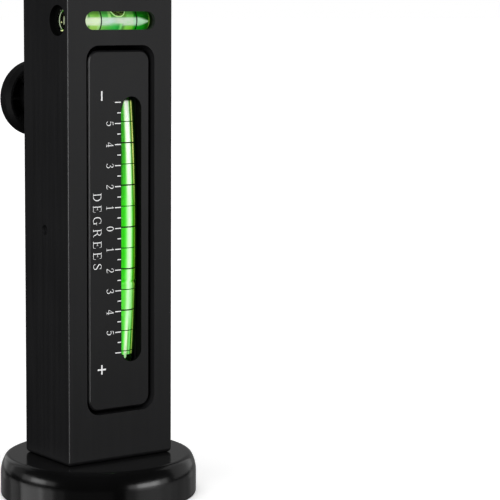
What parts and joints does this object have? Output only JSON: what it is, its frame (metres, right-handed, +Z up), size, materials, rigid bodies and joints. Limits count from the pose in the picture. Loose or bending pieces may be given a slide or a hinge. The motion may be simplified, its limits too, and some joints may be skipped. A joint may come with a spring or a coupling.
{
  "type": "camber caster gauge",
  "caption": "Black rectangular bar on a round magnet base, with a cross level and a tilting scale insert that carries a long camber vial, set by a thumb screw.",
  "frame": {"origin": "centre of the magnet face, on the surface that the gauge stands on", "axes": "+Z up along the bar, the scale faces -Y, the thumb screw points towards +Y, +X to the right as the scale is read"},
  "size_m": [0.05, 0.0589, 0.1264],
  "materials": {
    "anodised_black": "satin black anodised",
    "gloss_black": "gloss black coated steel",
    "dark_steel": "blackened, satin",
    "clear_acrylic": "polished clear",
    "level_liquid": "yellow-green, clear",
    "vial_plug": "yellow-green, glossy",
    "white_strip": "white, matt",
    "brass": "turned",
    "bronze": "oiled",
    "zinc_steel": "zinc plated",
    "hard_steel": "polished",
    "spring_steel": "drawn wire",
    "knob_plastic": "black, fine grain",
    "ferrite": "ground, dark grey",
    "resin": "cast, dark grey"
  },
  "bodies": {
    "gauge_body": {"body_bar": "anodised_black", "pivot_pin": "dark_steel", "cross_vial_tube": "clear_acrylic", "cross_vial_fluid": "level_liquid", "cross_vial_plug": "vial_plug", "adjuster_barrel": "brass", "spring_washer": "zinc_steel", "knob_spring": "spring_steel", "return_spring": "spring_steel", "base_cup": "gloss_black", "magnet_ring": "ferrite", "magnet_potting": "resin", "base_screw": "zinc_steel", "base_dowels": "dark_steel"},
    "scale_rocker": {"rocker_housing": "anodised_black", "pivot_bushes": "bronze", "camber_vial_tube": "clear_acrylic", "camber_vial_fluid": "level_liquid", "camber_vial_plugs": "vial_plug", "vial_reflector_strip": "white_strip", "rocker_cover_upper": "anodised_black", "rocker_cover_lower": "anodised_black", "cover_screws": "zinc_steel", "thrust_button": "hard_steel"},
    "screw_foot": {"screw_foot": "zinc_steel"},
    "adjuster": {"knob_stud": "zinc_steel", "knob_insert": "brass", "knob_head": "knob_plastic", "knob_cap": "knob_plastic"}
  },
  "joints": [
    {"name": "screw_feed", "type": "slide", "parent": "gauge_body", "child": "screw_foot", "axis": [0, -1, 0], "range_m": [-0.0008, 0.00273], "deforming": ["knob_spring"]},
    {"name": "knob_spin", "type": "hinge", "parent": "screw_foot", "child": "adjuster", "pos_m": [0, 0.029, 0.09965], "axis": [0, -1, 0], "range_deg": [-360, 1230]},
    {"name": "rocker_tilt", "type": "hinge", "parent": "gauge_body", "child": "scale_rocker", "pos_m": [0, 0.0006, 0.0684], "axis": [1, 0, 0], "range_deg": [-1.47, 5.01], "deforming": ["return_spring"]}
  ],
  "couplings": [
    {"joint": "screw_feed", "follows": "knob_spin", "m_per_rad": 0.00012732},
    {"joint": "rocker_tilt", "follows": "knob_spin", "ratio": 0.0040744}
  ]
}
